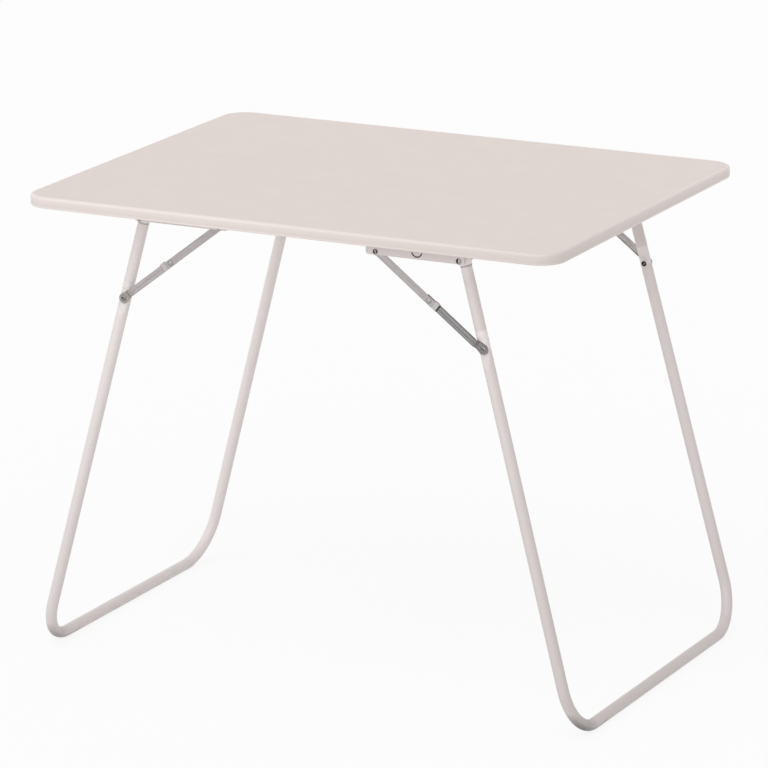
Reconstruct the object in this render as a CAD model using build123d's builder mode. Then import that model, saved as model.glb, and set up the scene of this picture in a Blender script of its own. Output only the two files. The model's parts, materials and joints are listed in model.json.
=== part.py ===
from build123d import *
from math import cos, radians, sin, sqrt
import os

# Folding camping table: a laminated board on two U-shaped tube legs that fold under it.
# Each leg turns in a pair of channel brackets and is held open by a pair of folding stays.
# Millimetres, +Z up, the floor at Z = 0, the board's length along X, its width along Y.

# Driving sizes of the table
board_length = 810
board_width = 620
table_height = 680

# Board: core, laminate above and below, and a lipping whose tongue sits in a groove
board_thickness = 16
board_corner_radius = 37
laminate_thickness = 0.8
lipping_width = 5
lipping_top_radius = 4
lipping_bottom_radius = 2
tongue_thickness = 2
tongue_depth = 8
lipping_gap = 0.05
groove_gap = 0.15

# Leg tubes
tube_diameter = 16
tube_wall = 1.2
leg_splay = 15
leg_bend_radius = 65
tube_stub = 6
collar_radius = 8.5
collar_below_pivot = 9
pivot_inset = 153
pivot_drop = 13.5
wide_frame_inset = 47.5
frame_nesting_step = 30.5
wide_frame_spread = 16.5
narrow_frame_spread = 11

# Folding stays: two equal links, as far from each leg pivot on the leg as on the bracket
stay_reach = 124
link_thickness = 1.2
link_width = 10.5
eye_radius = 7.2
eye_length = 14.5
joggle_start = 9.5
joggle_run = 4
joggle_height = 4.1
flange_depth = 0.9
lower_link_overrun = 6.4
lower_link_corner = 2.5
upper_link_overrun = 15.5
upper_eye_radius = 6
stop_tab_length = 7.5
stop_tab_gap = 0.3
link_groove_start = 24
link_groove_end = 76
link_groove_width = 3.2
link_groove_sink = 0.4
plate_gap = 0.3
seat_gap = 0.1

# Flats pressed into the tube where the stay is riveted on
outer_press_depth = 3.1
outer_press_half = 12
outer_press_run = 13
inner_press_depth = 1
inner_press_half = 6
inner_press_run = 4

# Channel brackets
bracket_sheet = 1.5
bracket_end_past_pivot = 8
bracket_end_past_stay = 14.5
cheek_depth = 17.8
cheek_corner_radius = 4
bracket_bend_radius = 2.5
tube_side_gap = 1
cheek_running_gap = 1.6
tongue_slot_radius = 7.6
tongue_slot_width = 1.4
tongue_root_drop = 6.8

# Rivets, pins, spacers and screws
pin_diameter = 6
rivet_diameter = 5
running_gap = 0.1
fixed_gap = 0.03
head_radius = 4
head_height = 1.2
pin_head_radius = 4.2
pin_head_height = 1.5
spacer_radius = 5.5
spacer_end_gap = 0.4
screw_diameter = 4
screw_length = 11
screw_head_radius = 4
screw_head_height = 2
screw_inset_share = 0.24

# Freedom for cutting tools that run past what they cut
overrun = 10

# Sizes worked out from the ones above
half_length = board_length / 2
half_width = board_width / 2
board_underside = table_height - board_thickness
tube_radius = tube_diameter / 2
pivot_x = half_length - pivot_inset
pivot_z = board_underside - pivot_drop
leg_length = (pivot_z - tube_radius) / cos(radians(leg_splay))
fold_angle = 90 + leg_splay
stay_angle = (180 - fold_angle) / 2
link_length = stay_reach * sin(radians(fold_angle / 2))
stay_top_x = pivot_x - stay_reach
stay_foot_x = pivot_x + stay_reach * sin(radians(leg_splay))
stay_foot_z = pivot_z - stay_reach * cos(radians(leg_splay))
quadrants = {"right_front": (1, -1), "right_back": (1, 1), "left_front": (-1, -1), "left_back": (-1, 1)}
sides = {"right": 1, "left": -1}

wide_half = half_width - wide_frame_inset
frame_half = {1: wide_half, -1: wide_half - frame_nesting_step}
frame_spread = {1: wide_frame_spread, -1: narrow_frame_spread}

leg_plane = Plane(
    origin=(pivot_x, 0, pivot_z),
    x_dir=(0, 1, 0),
    z_dir=(cos(radians(leg_splay)), 0, sin(radians(leg_splay))),
)
lower_link_plane = Plane(
    origin=(stay_foot_x, 0, stay_foot_z),
    x_dir=(-cos(radians(stay_angle)), 0, sin(radians(stay_angle))),
    z_dir=(0, 1, 0),
)
upper_link_plane = Plane(
    origin=(stay_top_x, 0, pivot_z),
    x_dir=(cos(radians(stay_angle)), 0, -sin(radians(stay_angle))),
    z_dir=(0, 1, 0),
)
knuckle_x = stay_top_x + link_length * cos(radians(stay_angle))
knuckle_z = pivot_z - link_length * sin(radians(stay_angle))


def tube_half(side, down):
    # Distance of the tube's axis from the middle plane, this far down the leg from its pivot
    return frame_half[side] + frame_spread[side] * down / leg_length


def layers(side):
    # Distances from the middle plane of the faces stacked outward from the leg tube
    seat = tube_half(side, stay_reach) + tube_radius - outer_press_depth
    eye_inner = seat + seat_gap
    eye_outer = eye_inner + link_thickness
    lower_inner = eye_inner + joggle_height
    lower_outer = lower_inner + link_thickness
    upper_inner = lower_outer + plate_gap
    upper_outer = upper_inner + link_thickness
    cheek_inner = upper_outer + cheek_running_gap
    cheek_outer = cheek_inner + bracket_sheet
    inboard_cheek_inner = frame_half[side] - tube_radius - tube_side_gap
    inboard_cheek_outer = inboard_cheek_inner - bracket_sheet
    return {
        "seat": seat,
        "eye_inner": eye_inner,
        "eye_outer": eye_outer,
        "lower_inner": lower_inner,
        "lower_outer": lower_outer,
        "upper_inner": upper_inner,
        "upper_outer": upper_outer,
        "cheek_inner": cheek_inner,
        "cheek_outer": cheek_outer,
        "inboard_inner": inboard_cheek_inner,
        "inboard_outer": inboard_cheek_outer,
    }


stack = {side: layers(side) for side in (1, -1)}


def put_in_quadrant(x_sign, y_sign):
    # Pieces are modelled at positive X and Y and mirrored to their corner of the table
    if y_sign < 0:
        mirror(about=Plane.XZ, mode=Mode.REPLACE)
    if x_sign < 0:
        mirror(about=Plane.YZ, mode=Mode.REPLACE)


def dome_rise(radius, base_radius, height):
    # Height of a round head above its rim, this far from its axis
    ball = (base_radius**2 + height**2) / (2 * height)
    return sqrt(ball**2 - radius**2) - (ball - height)


def turned_piece(x, z, y_sign, corners, inner_dome=0, outer_dome=0):
    # A piece turned about a line along Y, from (radius, distance from the middle plane) corners
    first_radius, first_y = corners[0]
    last_radius, last_y = corners[-1]
    inner_tip = (x, y_sign * (first_y - inner_dome))
    outer_tip = (x, y_sign * (last_y + outer_dome))
    points = [(x + radius, y_sign * y) for radius, y in corners]
    with BuildSketch(Plane.XY.offset(z)) as profile:
        with BuildLine():
            if inner_dome:
                rise = dome_rise(first_radius / 2, first_radius, inner_dome)
                ThreePointArc(inner_tip, (x + first_radius / 2, y_sign * (first_y - rise)), points[0])
            else:
                Line(inner_tip, points[0])
            Polyline(*points)
            if outer_dome:
                rise = dome_rise(last_radius / 2, last_radius, outer_dome)
                ThreePointArc(points[-1], (x + last_radius / 2, y_sign * (last_y + rise)), outer_tip)
            else:
                Line(points[-1], outer_tip)
            Line(outer_tip, inner_tip)
        make_face()
    revolve(profile.sketch, axis=Axis((x, 0, z), (0, 1, 0)))


def cross_hole(x, z, diameter):
    # A hole along Y, right through both sides of the table
    with Locations(Plane(origin=(x, 0, z), z_dir=(0, 1, 0))):
        Cylinder(diameter / 2, board_width, mode=Mode.SUBTRACT)


def write(builder, name):
    builder.part.label = name
    export_step(builder.part, f"parts/{name}.step")


os.makedirs("parts", exist_ok=True)

# Board core with its groove and the screws' pilot holes
core_length = board_length - 2 * (lipping_width + lipping_gap)
core_width = board_width - 2 * (lipping_width + lipping_gap)
core_corner = board_corner_radius - lipping_width - lipping_gap
core_bottom = board_underside + laminate_thickness
core_thickness = board_thickness - 2 * laminate_thickness
core_middle = core_bottom + core_thickness / 2
groove_depth = tongue_depth + groove_gap - lipping_gap
groove_height = tongue_thickness + 2 * groove_gap

bracket_start = stay_top_x - bracket_end_past_stay
bracket_end = pivot_x + bracket_end_past_pivot
bracket_length = bracket_end - bracket_start
screw_places = [
    (
        x_sign * (bracket_start + share * bracket_length),
        y_sign * (stack[x_sign]["inboard_inner"] + stack[x_sign]["cheek_inner"]) / 2,
    )
    for x_sign, y_sign in quadrants.values()
    for share in (screw_inset_share, 1 - screw_inset_share)
]
pilot_radius = screw_diameter / 2 + fixed_gap

with BuildPart() as board_core:
    with BuildSketch(Plane.XY.offset(core_bottom)):
        RectangleRounded(core_length, core_width, core_corner)
    extrude(amount=core_thickness)
    with BuildSketch(Plane.XY.offset(core_middle - groove_height / 2)):
        RectangleRounded(core_length, core_width, core_corner)
        RectangleRounded(
            core_length - 2 * groove_depth,
            core_width - 2 * groove_depth,
            core_corner - groove_depth,
            mode=Mode.SUBTRACT,
        )
    extrude(amount=groove_height, mode=Mode.SUBTRACT)
    with BuildSketch(Plane.XY.offset(core_bottom)):
        with Locations(*screw_places):
            Circle(pilot_radius)
    extrude(amount=screw_length - laminate_thickness + fixed_gap, mode=Mode.SUBTRACT)
write(board_core, "board_core")

with BuildPart() as top_laminate:
    with BuildSketch(Plane.XY.offset(core_bottom + core_thickness)):
        RectangleRounded(core_length, core_width, core_corner)
    extrude(amount=laminate_thickness)
write(top_laminate, "top_laminate")

with BuildPart() as bottom_laminate:
    with BuildSketch(Plane.XY.offset(board_underside)):
        RectangleRounded(core_length, core_width, core_corner)
        with Locations(*screw_places):
            Circle(pilot_radius, mode=Mode.SUBTRACT)
    extrude(amount=laminate_thickness)
write(bottom_laminate, "bottom_laminate")

# Lipping with rounded arrises and the tongue that holds it in the core's groove
with BuildPart() as edge_lipping:
    with BuildSketch(Plane.XY.offset(board_underside)):
        RectangleRounded(board_length, board_width, board_corner_radius)
    extrude(amount=board_thickness)
    fillet(edge_lipping.edges().group_by(Axis.Z)[-1], lipping_top_radius)
    fillet(edge_lipping.edges().group_by(Axis.Z)[0], lipping_bottom_radius)
    lipping_inner_length = board_length - 2 * lipping_width
    lipping_inner_width = board_width - 2 * lipping_width
    lipping_inner_corner = board_corner_radius - lipping_width
    with BuildSketch(Plane.XY.offset(board_underside)):
        RectangleRounded(lipping_inner_length, lipping_inner_width, lipping_inner_corner)
    extrude(amount=board_thickness, mode=Mode.SUBTRACT)
    with BuildSketch(Plane.XY.offset(core_middle - tongue_thickness / 2)):
        RectangleRounded(lipping_inner_length, lipping_inner_width, lipping_inner_corner)
        RectangleRounded(
            lipping_inner_length - 2 * tongue_depth,
            lipping_inner_width - 2 * tongue_depth,
            lipping_inner_corner - tongue_depth,
            mode=Mode.SUBTRACT,
        )
    extrude(amount=tongue_thickness)
write(edge_lipping, "edge_lipping")


# Leg frames
def leg_sweep(side, radius):
    # A rod of this radius along the frame's centre line
    stub_half = tube_half(side, -tube_stub)
    floor_half = tube_half(side, leg_length)
    with BuildLine(leg_plane) as centre_line:
        FilletPolyline(
            (-stub_half, tube_stub),
            (-floor_half, -leg_length),
            (floor_half, -leg_length),
            (stub_half, tube_stub),
            radius=leg_bend_radius,
        )
    with BuildSketch(Plane(origin=centre_line.line @ 0, z_dir=centre_line.line % 0)) as section:
        Circle(radius)
    sweep(section.sketch, path=centre_line.line)


def press_flat(level, outward, depth, half, run):
    # Takes away what lies past a level, over a length beside the stay's foot, with sloping ends
    reach = outward * (depth + overrun)
    slope = run * (depth + overrun) / depth
    for y_sign in (1, -1):
        with BuildSketch(leg_plane) as die:
            with BuildLine():
                Polyline(
                    (y_sign * level, -stay_reach - half),
                    (y_sign * level, -stay_reach + half),
                    (y_sign * (level + reach), -stay_reach + half + slope),
                    (y_sign * (level + reach), -stay_reach - half - slope),
                    close=True,
                )
            make_face()
        extrude(die.sketch, amount=tube_diameter, both=True, mode=Mode.SUBTRACT)


def collars(side):
    # A collar drawn over each upper end of the tube, round the pivot
    for y_sign in (1, -1):
        top = (y_sign * tube_half(side, -tube_stub), tube_stub)
        base = (y_sign * tube_half(side, collar_below_pivot), -collar_below_pivot)
        with BuildLine(leg_plane) as collar_line:
            Line(top, base)
        with BuildSketch(Plane(origin=collar_line.line @ 0, z_dir=collar_line.line % 0)) as ring:
            Circle(collar_radius)
        sweep(ring.sketch, path=collar_line.line)


def press_both_sides(side, inset):
    axis = tube_half(side, stay_reach)
    outer_level = axis + tube_radius - outer_press_depth - inset
    inner_level = axis - tube_radius + inner_press_depth + inset
    press_flat(outer_level, 1, outer_press_depth, outer_press_half, outer_press_run)
    press_flat(inner_level, -1, inner_press_depth, inner_press_half, inner_press_run)


for side_name, side in sides.items():
    with BuildPart() as tube_bore:
        leg_sweep(side, tube_radius - tube_wall)
        press_both_sides(side, tube_wall)
    with BuildPart() as leg_tube:
        leg_sweep(side, tube_radius)
        press_both_sides(side, 0)
        collars(side)
        add(tube_bore.part, mode=Mode.SUBTRACT)
        cross_hole(pivot_x, pivot_z, pin_diameter + 2 * running_gap)
        cross_hole(stay_foot_x, stay_foot_z, rivet_diameter + 2 * fixed_gap)
        put_in_quadrant(side, 1)
    write(leg_tube, f"{side_name}_leg_tube")

    inner_seat = tube_half(side, stay_reach) - tube_radius + inner_press_depth
    outer_seat = stack[side]["eye_outer"] + seat_gap
    with BuildPart() as foot_rivets:
        for y_sign in (1, -1):
            turned_piece(
                side * stay_foot_x,
                stay_foot_z,
                y_sign,
                [
                    (head_radius, inner_seat),
                    (rivet_diameter / 2, inner_seat),
                    (rivet_diameter / 2, outer_seat),
                    (head_radius, outer_seat),
                ],
                inner_dome=head_height,
                outer_dome=head_height,
            )
    write(foot_rivets, f"{side_name}_stay_foot_rivets")


# Channel brackets under the board
def cheek_outline():
    with BuildSketch(Plane.XZ) as outline:
        with Locations(((bracket_start + bracket_end) / 2, board_underside)):
            Rectangle(bracket_length, cheek_depth, align=(Align.CENTER, Align.MAX))
        fillet(outline.vertices().group_by(Axis.Z)[0], cheek_corner_radius)
    extrude(outline.sketch, amount=board_width, both=True, mode=Mode.INTERSECT)


def tongue_slot(cheek_outer):
    # A half-round slot that frees a spring tongue in the outer cheek
    tongue_x = (pivot_x + stay_top_x) / 2
    slot_plane = Plane(origin=(tongue_x, cheek_outer, board_underside - tongue_root_drop), z_dir=(0, 1, 0))
    with BuildSketch(slot_plane) as slot:
        Circle(tongue_slot_radius + tongue_slot_width / 2)
        Circle(tongue_slot_radius - tongue_slot_width / 2, mode=Mode.SUBTRACT)
    extrude(slot.sketch, amount=-bracket_sheet, mode=Mode.SUBTRACT)


for name, (x_sign, y_sign) in quadrants.items():
    faces = stack[x_sign]
    inboard = faces["inboard_outer"]
    outboard = faces["cheek_outer"]
    channel_middle = (inboard + outboard) / 2
    with BuildPart() as bracket:
        with BuildSketch(Plane(origin=(bracket_start, 0, 0), x_dir=(0, 1, 0), z_dir=(1, 0, 0))):
            with Locations((channel_middle, board_underside)):
                outer = Rectangle(outboard - inboard, 2 * cheek_depth, align=(Align.CENTER, Align.MAX))
            fillet(outer.vertices().group_by(Axis.Z)[-1], bracket_bend_radius)
            with Locations((channel_middle, board_underside - bracket_sheet)):
                RectangleRounded(
                    outboard - inboard - 2 * bracket_sheet,
                    3 * cheek_depth,
                    bracket_bend_radius - bracket_sheet,
                    align=(Align.CENTER, Align.MAX),
                    mode=Mode.SUBTRACT,
                )
        extrude(amount=bracket_length)
        cheek_outline()
        tongue_slot(outboard)
        cross_hole(pivot_x, pivot_z, pin_diameter + 2 * fixed_gap)
        with BuildSketch(Plane(origin=(stay_top_x, outboard, pivot_z), z_dir=(0, 1, 0))):
            Circle(rivet_diameter / 2 + fixed_gap)
        extrude(amount=-2 * bracket_sheet, mode=Mode.SUBTRACT)
        with BuildSketch(Plane.XY.offset(board_underside)):
            with Locations(*[(abs(x), abs(y)) for x, y in screw_places if x * x_sign > 0]):
                Circle(pilot_radius)
        extrude(amount=-2 * bracket_sheet, mode=Mode.SUBTRACT)
        put_in_quadrant(x_sign, y_sign)
    write(bracket, f"{name}_bracket")

with BuildPart() as bracket_screws:
    web_underside = board_underside - bracket_sheet
    with BuildSketch(Plane.XY.offset(web_underside - screw_head_height)):
        with Locations(*screw_places):
            Circle(screw_head_radius)
    extrude(amount=screw_head_height)
    fillet(bracket_screws.edges().group_by(Axis.Z)[0], screw_head_height / 2)
    with BuildSketch(Plane.XY.offset(web_underside)):
        with Locations(*screw_places):
            Circle(screw_diameter / 2)
    extrude(amount=bracket_sheet + screw_length)
write(bracket_screws, "bracket_screws")

# Leg pivot pins, each through both cheeks and the tube, and the spacers beside the tubes
with BuildPart() as leg_pivot_pins:
    for x_sign, y_sign in quadrants.values():
        inner_seat = stack[x_sign]["inboard_outer"]
        outer_seat = stack[x_sign]["cheek_outer"]
        turned_piece(
            x_sign * pivot_x,
            pivot_z,
            y_sign,
            [
                (pin_head_radius, inner_seat),
                (pin_diameter / 2, inner_seat),
                (pin_diameter / 2, outer_seat),
                (pin_head_radius, outer_seat),
            ],
            inner_dome=pin_head_height,
            outer_dome=pin_head_height,
        )
write(leg_pivot_pins, "leg_pivot_pins")

with BuildPart() as pivot_spacers:
    for x_sign, y_sign in quadrants.values():
        near = frame_half[x_sign] + collar_radius + spacer_end_gap
        far = stack[x_sign]["cheek_inner"]
        bore = pin_diameter / 2 + fixed_gap
        with BuildSketch(Plane.XY.offset(pivot_z)):
            with Locations((x_sign * pivot_x + (bore + spacer_radius) / 2, y_sign * (near + far) / 2)):
                Rectangle(spacer_radius - bore, far - near)
        revolve(axis=Axis((x_sign * pivot_x, 0, pivot_z), (0, 1, 0)))
write(pivot_spacers, "pivot_spacers")

# Rivets that carry the stays' upper ends, with a shoulder between link and cheek
with BuildPart() as stay_top_rivets:
    for x_sign, y_sign in quadrants.values():
        faces = stack[x_sign]
        tail_seat = faces["upper_inner"] - seat_gap
        shoulder = faces["upper_outer"] + seat_gap
        turned_piece(
            x_sign * stay_top_x,
            pivot_z,
            y_sign,
            [
                (head_radius, tail_seat),
                (rivet_diameter / 2, tail_seat),
                (rivet_diameter / 2, shoulder),
                (head_radius, shoulder),
                (head_radius, faces["cheek_inner"]),
                (rivet_diameter / 2, faces["cheek_inner"]),
                (rivet_diameter / 2, faces["cheek_outer"]),
                (head_radius, faces["cheek_outer"]),
            ],
            inner_dome=head_height,
            outer_dome=head_height,
        )
write(stay_top_rivets, "stay_top_rivets")


# Folding stays: a channel link on the leg, a flat link with a stop tab on the bracket
def lower_link_body(faces):
    eye, plate = faces["eye_inner"], faces["lower_inner"]
    end = link_length + lower_link_overrun
    ramp_end = joggle_start + joggle_run
    side_view = Plane(origin=lower_link_plane.origin, x_dir=lower_link_plane.x_dir,
                      z_dir=-lower_link_plane.y_dir)
    with BuildSketch(side_view) as joggle:
        with BuildLine():
            Polyline(
                (-eye_radius, eye),
                (joggle_start, eye),
                (ramp_end, plate),
                (end, plate),
                (end, plate + link_thickness),
                (ramp_end, plate + link_thickness),
                (joggle_start, eye + link_thickness),
                (-eye_radius, eye + link_thickness),
                close=True,
            )
        make_face()
    extrude(joggle.sketch, amount=eye_radius, both=True)
    # Flanges that cup the tube when the stay is folded
    flange_start = eye_length + link_thickness
    with BuildSketch(lower_link_plane.offset(plate - flange_depth)) as flanges:
        for edge in (1, -1):
            with Locations(((flange_start + end) / 2, edge * (link_width - link_thickness) / 2)):
                Rectangle(end - flange_start, link_thickness)
    extrude(flanges.sketch, amount=flange_depth)
    # A stiffening groove pressed along the middle of the link
    groove_middle = (link_groove_start + link_groove_end) / 2
    groove_length = link_groove_end - link_groove_start
    groove_levels = ((plate - link_groove_sink, 2 * link_groove_sink, Mode.ADD),
                     (plate + link_thickness - link_groove_sink, 0, Mode.SUBTRACT))
    for level, wider, mode in groove_levels:
        with BuildSketch(lower_link_plane.offset(level)) as groove:
            with Locations((groove_middle, 0)):
                SlotOverall(groove_length + wider, link_groove_width + wider)
        extrude(groove.sketch, amount=link_groove_sink, mode=mode)
    with BuildSketch(lower_link_plane.offset(eye - flange_depth)) as outline:
        Circle(eye_radius)
        with BuildLine():
            Polyline(
                (0, eye_radius),
                (0, -eye_radius),
                (eye_length, -link_width / 2),
                (eye_length, link_width / 2),
                close=True,
            )
        make_face()
        Rectangle(end, link_width, align=(Align.MIN, Align.CENTER))
        far_corners = [v for v in outline.vertices()
                       if lower_link_plane.to_local_coords(v.center()).X > link_length]
        fillet(far_corners, lower_link_corner)
    extrude(outline.sketch, amount=2 * joggle_height + 2 * flange_depth, mode=Mode.INTERSECT)
    with BuildSketch(lower_link_plane.offset(eye - flange_depth)) as holes:
        Circle(rivet_diameter / 2 + running_gap)
        with Locations((link_length, 0)):
            Circle(rivet_diameter / 2 + fixed_gap)
    extrude(holes.sketch, amount=2 * joggle_height + 2 * flange_depth, mode=Mode.SUBTRACT)


def upper_link_body(faces):
    plate = faces["upper_inner"]
    end = link_length + upper_link_overrun
    tab_edge = link_width / 2 + stop_tab_gap
    tab_start = end - stop_tab_length
    with BuildSketch(upper_link_plane.offset(plate)) as outline:
        Circle(upper_eye_radius)
        Rectangle(end, link_width, align=(Align.MIN, Align.CENTER))
        with Locations((tab_start, -tab_edge - link_thickness)):
            Rectangle(stop_tab_length, tab_edge + link_thickness, align=(Align.MIN, Align.MIN))
        Circle(rivet_diameter / 2 + running_gap, mode=Mode.SUBTRACT)
        with Locations((link_length, 0)):
            Circle(rivet_diameter / 2 + fixed_gap, mode=Mode.SUBTRACT)
    extrude(outline.sketch, amount=link_thickness)
    # The stop tab hooks over the lower link's edge and holds the stay straight
    with BuildSketch(upper_link_plane.offset(faces["lower_inner"])) as stop_tab:
        with Locations((tab_start, -tab_edge - link_thickness)):
            Rectangle(stop_tab_length, link_thickness, align=(Align.MIN, Align.MIN))
    extrude(stop_tab.sketch, amount=plate - faces["lower_inner"])


for name, (x_sign, y_sign) in quadrants.items():
    faces = stack[x_sign]
    with BuildPart() as lower_link:
        lower_link_body(faces)
        put_in_quadrant(x_sign, y_sign)
    write(lower_link, f"{name}_lower_link")

    with BuildPart() as upper_link:
        upper_link_body(faces)
        put_in_quadrant(x_sign, y_sign)
    write(upper_link, f"{name}_upper_link")

    knuckle_place = (x_sign * knuckle_x, knuckle_z, y_sign)
    with BuildPart() as knuckle_tail:
        turned_piece(
            *knuckle_place,
            [
                (head_radius, faces["lower_inner"]),
                (rivet_diameter / 2, faces["lower_inner"]),
                (rivet_diameter / 2, faces["lower_outer"]),
            ],
            inner_dome=head_height,
        )
    write(knuckle_tail, f"{name}_knuckle_tail")

    with BuildPart() as knuckle_head:
        turned_piece(
            *knuckle_place,
            [
                (rivet_diameter / 2, faces["upper_inner"]),
                (rivet_diameter / 2, faces["upper_outer"]),
                (head_radius, faces["upper_outer"]),
            ],
            outer_dome=head_height,
        )
    write(knuckle_head, f"{name}_knuckle_head")
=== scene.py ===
# %% [markdown]
# # A folding camping table
# This is a small laminated table on two U-shaped tube legs, which fold up beneath it and are held
# open by riveted stays. Every piece could be modelled here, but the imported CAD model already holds
# the rigid pieces at their real size. So this lesson keeps them, gives them their finishes, turns
# the small hardware that shows close up, and sets up the photograph's view.

import bmesh
import bpy
import json
from math import cos, pi, radians, sin
from mathutils import Euler, Matrix, Vector
from types import SimpleNamespace


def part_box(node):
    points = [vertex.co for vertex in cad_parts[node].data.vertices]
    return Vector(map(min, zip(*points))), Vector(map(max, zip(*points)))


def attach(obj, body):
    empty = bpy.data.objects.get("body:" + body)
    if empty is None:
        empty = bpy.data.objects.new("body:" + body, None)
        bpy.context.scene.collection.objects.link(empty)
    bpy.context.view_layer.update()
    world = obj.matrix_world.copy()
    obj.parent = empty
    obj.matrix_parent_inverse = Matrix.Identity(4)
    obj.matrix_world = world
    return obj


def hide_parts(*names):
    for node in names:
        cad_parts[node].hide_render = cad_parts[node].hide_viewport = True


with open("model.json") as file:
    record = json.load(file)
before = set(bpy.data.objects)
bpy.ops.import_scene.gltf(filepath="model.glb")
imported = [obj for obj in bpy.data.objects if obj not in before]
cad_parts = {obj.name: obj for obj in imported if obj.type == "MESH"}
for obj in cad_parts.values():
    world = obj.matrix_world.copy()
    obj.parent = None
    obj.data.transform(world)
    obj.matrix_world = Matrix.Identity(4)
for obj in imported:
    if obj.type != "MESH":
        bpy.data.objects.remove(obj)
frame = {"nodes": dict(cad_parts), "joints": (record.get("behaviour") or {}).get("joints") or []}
nodes = frame["nodes"]
joint_place = {joint["name"]: Vector(joint["pos_m"]) for joint in frame["joints"]}
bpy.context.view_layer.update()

mm = 0.001
scene = bpy.context.scene

# %% [markdown]
# ## The camera
# The photograph was taken through a long lens from the front right, a little above the board. A
# camera can be placed by eye, but then every later comparison suffers. This one was fitted to the
# straight edges of the board and the tubes, so it is given by its position and three angles.

# %% Camera
camera_place = (3.0556, -6.0618, 2.2383)
camera_azimuth = 26.759
camera_elevation = 15.290
camera_roll = -0.181
focal_length_pixels = 4981.8
picture_pixels = 768
sensor_width = 36
nearest, farthest = 0.1, 100

camera_data = bpy.data.cameras.new("photo_camera")
camera_data.sensor_width = sensor_width
camera_data.lens = focal_length_pixels / picture_pixels * sensor_width
camera_data.clip_start, camera_data.clip_end = nearest, farthest
camera = bpy.data.objects.new("photo_camera", camera_data)
scene.collection.objects.link(camera)
aim = Euler((radians(90 - camera_elevation), 0, radians(camera_azimuth))).to_matrix()
camera.location = camera_place
camera.rotation_euler = (aim @ Matrix.Rotation(radians(camera_roll), 3, "Z")).to_euler()
scene.camera = camera
print("lens", round(camera_data.lens, 1), "mm")

# %% [markdown]
# ## Placing nodes
# A finish is a tree of nodes. It could be wired by hand in the editor, but a script can be read and
# run again. Two helpers keep it short: one feeds a socket with a number, a colour or a link, and
# the other adds a node with its inputs fed.


# %% Feeding sockets and adding nodes
def feed(tree, socket, value):
    if isinstance(value, bpy.types.NodeSocket):
        tree.links.new(value, socket)
    elif isinstance(value, tuple) and len(value) < len(socket.default_value):
        socket.default_value = (*value, 1)
    else:
        socket.default_value = value


def add_node(tree, kind, inputs=None, **settings):
    node = tree.nodes.new(kind)
    for key, value in settings.items():
        setattr(node, key, value)
    for key, value in (inputs or {}).items():
        feed(tree, node.inputs[key], value)
    return node


print("finishes use Blender", bpy.app.version_string, "nodes")

# %% [markdown]
# Four kinds of node come up again and again: sums, noise, a change of range and a blend of two
# colours. Each could be written out in full, but with a shorthand a finish reads almost like a
# sentence.


# %% Sums, noise, ranges and blends
def math(tree, operation, first, second=0.0):
    return add_node(tree, "ShaderNodeMath", {0: first, 1: second}, operation=operation).outputs[0]


def noise(tree, vector, scale, detail=2.0, roughness=0.5):
    values = {"Vector": vector, "Scale": scale, "Detail": detail, "Roughness": roughness}
    return add_node(tree, "ShaderNodeTexNoise", values).outputs["Fac"]


def remap(tree, value, low, high, to_low, to_high):
    values = {"Value": value, "From Min": low, "From Max": high, "To Min": to_low, "To Max": to_high}
    return add_node(tree, "ShaderNodeMapRange", values).outputs["Result"]


def mix_colours(tree, factor, first, second):
    node = add_node(tree, "ShaderNodeMix", data_type="RGBA")
    for socket, value in ((node.inputs[0], factor), (node.inputs[6], first), (node.inputs[7], second)):
        feed(tree, socket, value)
    return node.outputs[2]


print("shorthands:", ", ".join(helper.__name__ for helper in (math, noise, remap, mix_colours)))

# %% [markdown]
# ## Shared effects
# Several finishes need the same effect, such as grain or rubbed patches. Copying its nodes into each
# would work, but a node group is built once and placed wherever it is wanted, with its own values.


# %% Making a node group
def make_group(name, inputs, outputs):
    group = bpy.data.node_groups.new(name, "ShaderNodeTree")
    for socket_name, value in inputs.items():
        kind = {float: "Float", tuple: "Color"}.get(type(value), "Vector")
        socket = group.interface.new_socket(socket_name, in_out="INPUT", socket_type=f"NodeSocket{kind}")
        if kind == "Float":
            socket.default_value = value
    for socket_name, kind in outputs.items():
        group.interface.new_socket(socket_name, in_out="OUTPUT", socket_type=f"NodeSocket{kind}")
    given = group.nodes.new("NodeGroupInput").outputs
    result = group.nodes.new("NodeGroupOutput").inputs
    print(name, "takes", ", ".join(inputs), "and gives", ", ".join(outputs))
    return group, given, result


print("node groups so far:", len(bpy.data.node_groups))

# %% [markdown]
# No real finish is one even colour. Faint clouds some centimetres wide and flecks of about a
# millimetre break up the laminate and the paint. One noise with much detail would mix both sizes,
# but two noises let each be as strong as the real surface shows it.

# %% Effect: clouds and flecks in a colour
noise_middle, noise_gain = 0.5, 4.0

varied_tone, given, result = make_group(
    "varied_tone",
    {"Vector": None, "Colour": (), "Cloud Size": 0.1, "Cloud Strength": 0.02,
     "Fleck Size": 0.001, "Fleck Strength": 0.02},
    {"Colour": "Color"},
)
cloud_scale = math(varied_tone, "DIVIDE", 1.0, given["Cloud Size"])
fleck_scale = math(varied_tone, "DIVIDE", 1.0, given["Fleck Size"])
cloud = noise(varied_tone, given["Vector"], cloud_scale)
fleck = noise(varied_tone, given["Vector"], fleck_scale, detail=3.0)
brightness = 1.0
for pattern, strength in ((cloud, given["Cloud Strength"]), (fleck, given["Fleck Strength"])):
    swing = math(varied_tone, "MULTIPLY", math(varied_tone, "SUBTRACT", pattern, noise_middle), strength)
    brightness = math(varied_tone, "ADD", brightness, math(varied_tone, "MULTIPLY", swing, noise_gain))
shaded = add_node(varied_tone, "ShaderNodeVectorMath", {0: given["Colour"]}, operation="SCALE")
feed(varied_tone, shaded.inputs["Scale"], brightness)
feed(varied_tone, result["Colour"], shaded.outputs[0])

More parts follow.
